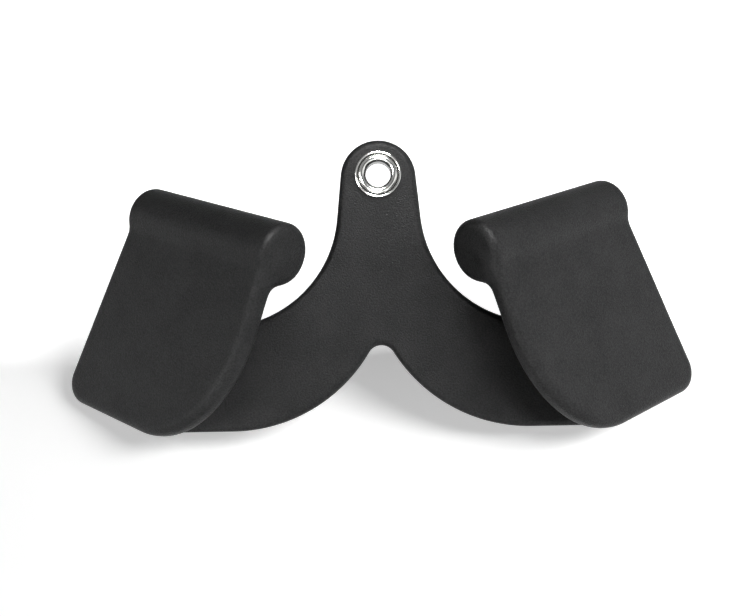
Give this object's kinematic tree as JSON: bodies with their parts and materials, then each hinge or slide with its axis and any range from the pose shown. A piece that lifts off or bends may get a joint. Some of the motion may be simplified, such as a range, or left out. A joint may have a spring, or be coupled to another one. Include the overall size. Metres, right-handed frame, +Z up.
{
  "type": "close-grip pulldown handle",
  "caption": "Close-grip pulldown handle: a flat rubber-coated yoke with an eyelet tab and curved arms that carry turned palm grips, each a palm plate under a round roll.",
  "frame": {"origin": "middle of the eyelet's bore, halfway through the yoke plate", "axes": "+Z up as the handle hangs from its eyelet, +X towards the right-hand grip, -Y towards the front, the side that the palms rest on"},
  "size_m": [0.3944, 0.0989, 0.174],
  "materials": {
    "charcoal_rubber": "matte, with a fine even grain",
    "bare_steel": "bare rolled steel, hidden under the rubber",
    "weld_steel": "as welded, hidden under the rubber",
    "bright_plating": "bright plated"
  },
  "bodies": {
    "root": {"yoke_core_plate": "bare_steel", "yoke_coating": "charcoal_rubber", "eyelet_barrel": "bright_plating", "eyelet_washer": "bright_plating", "left_grip_coating": "charcoal_rubber", "left_palm_core": "bare_steel", "left_roll_tube": "bare_steel", "left_roll_inner_disc": "bare_steel", "left_roll_outer_disc": "bare_steel", "left_roll_weld_front": "weld_steel", "left_roll_weld_back": "weld_steel", "left_arm_weld_front": "weld_steel", "left_arm_weld_back": "weld_steel", "right_grip_coating": "charcoal_rubber", "right_palm_core": "bare_steel", "right_roll_tube": "bare_steel", "right_roll_inner_disc": "bare_steel", "right_roll_outer_disc": "bare_steel", "right_roll_weld_front": "weld_steel", "right_roll_weld_back": "weld_steel", "right_arm_weld_front": "weld_steel", "right_arm_weld_back": "weld_steel"}
  },
  "joints": []
}
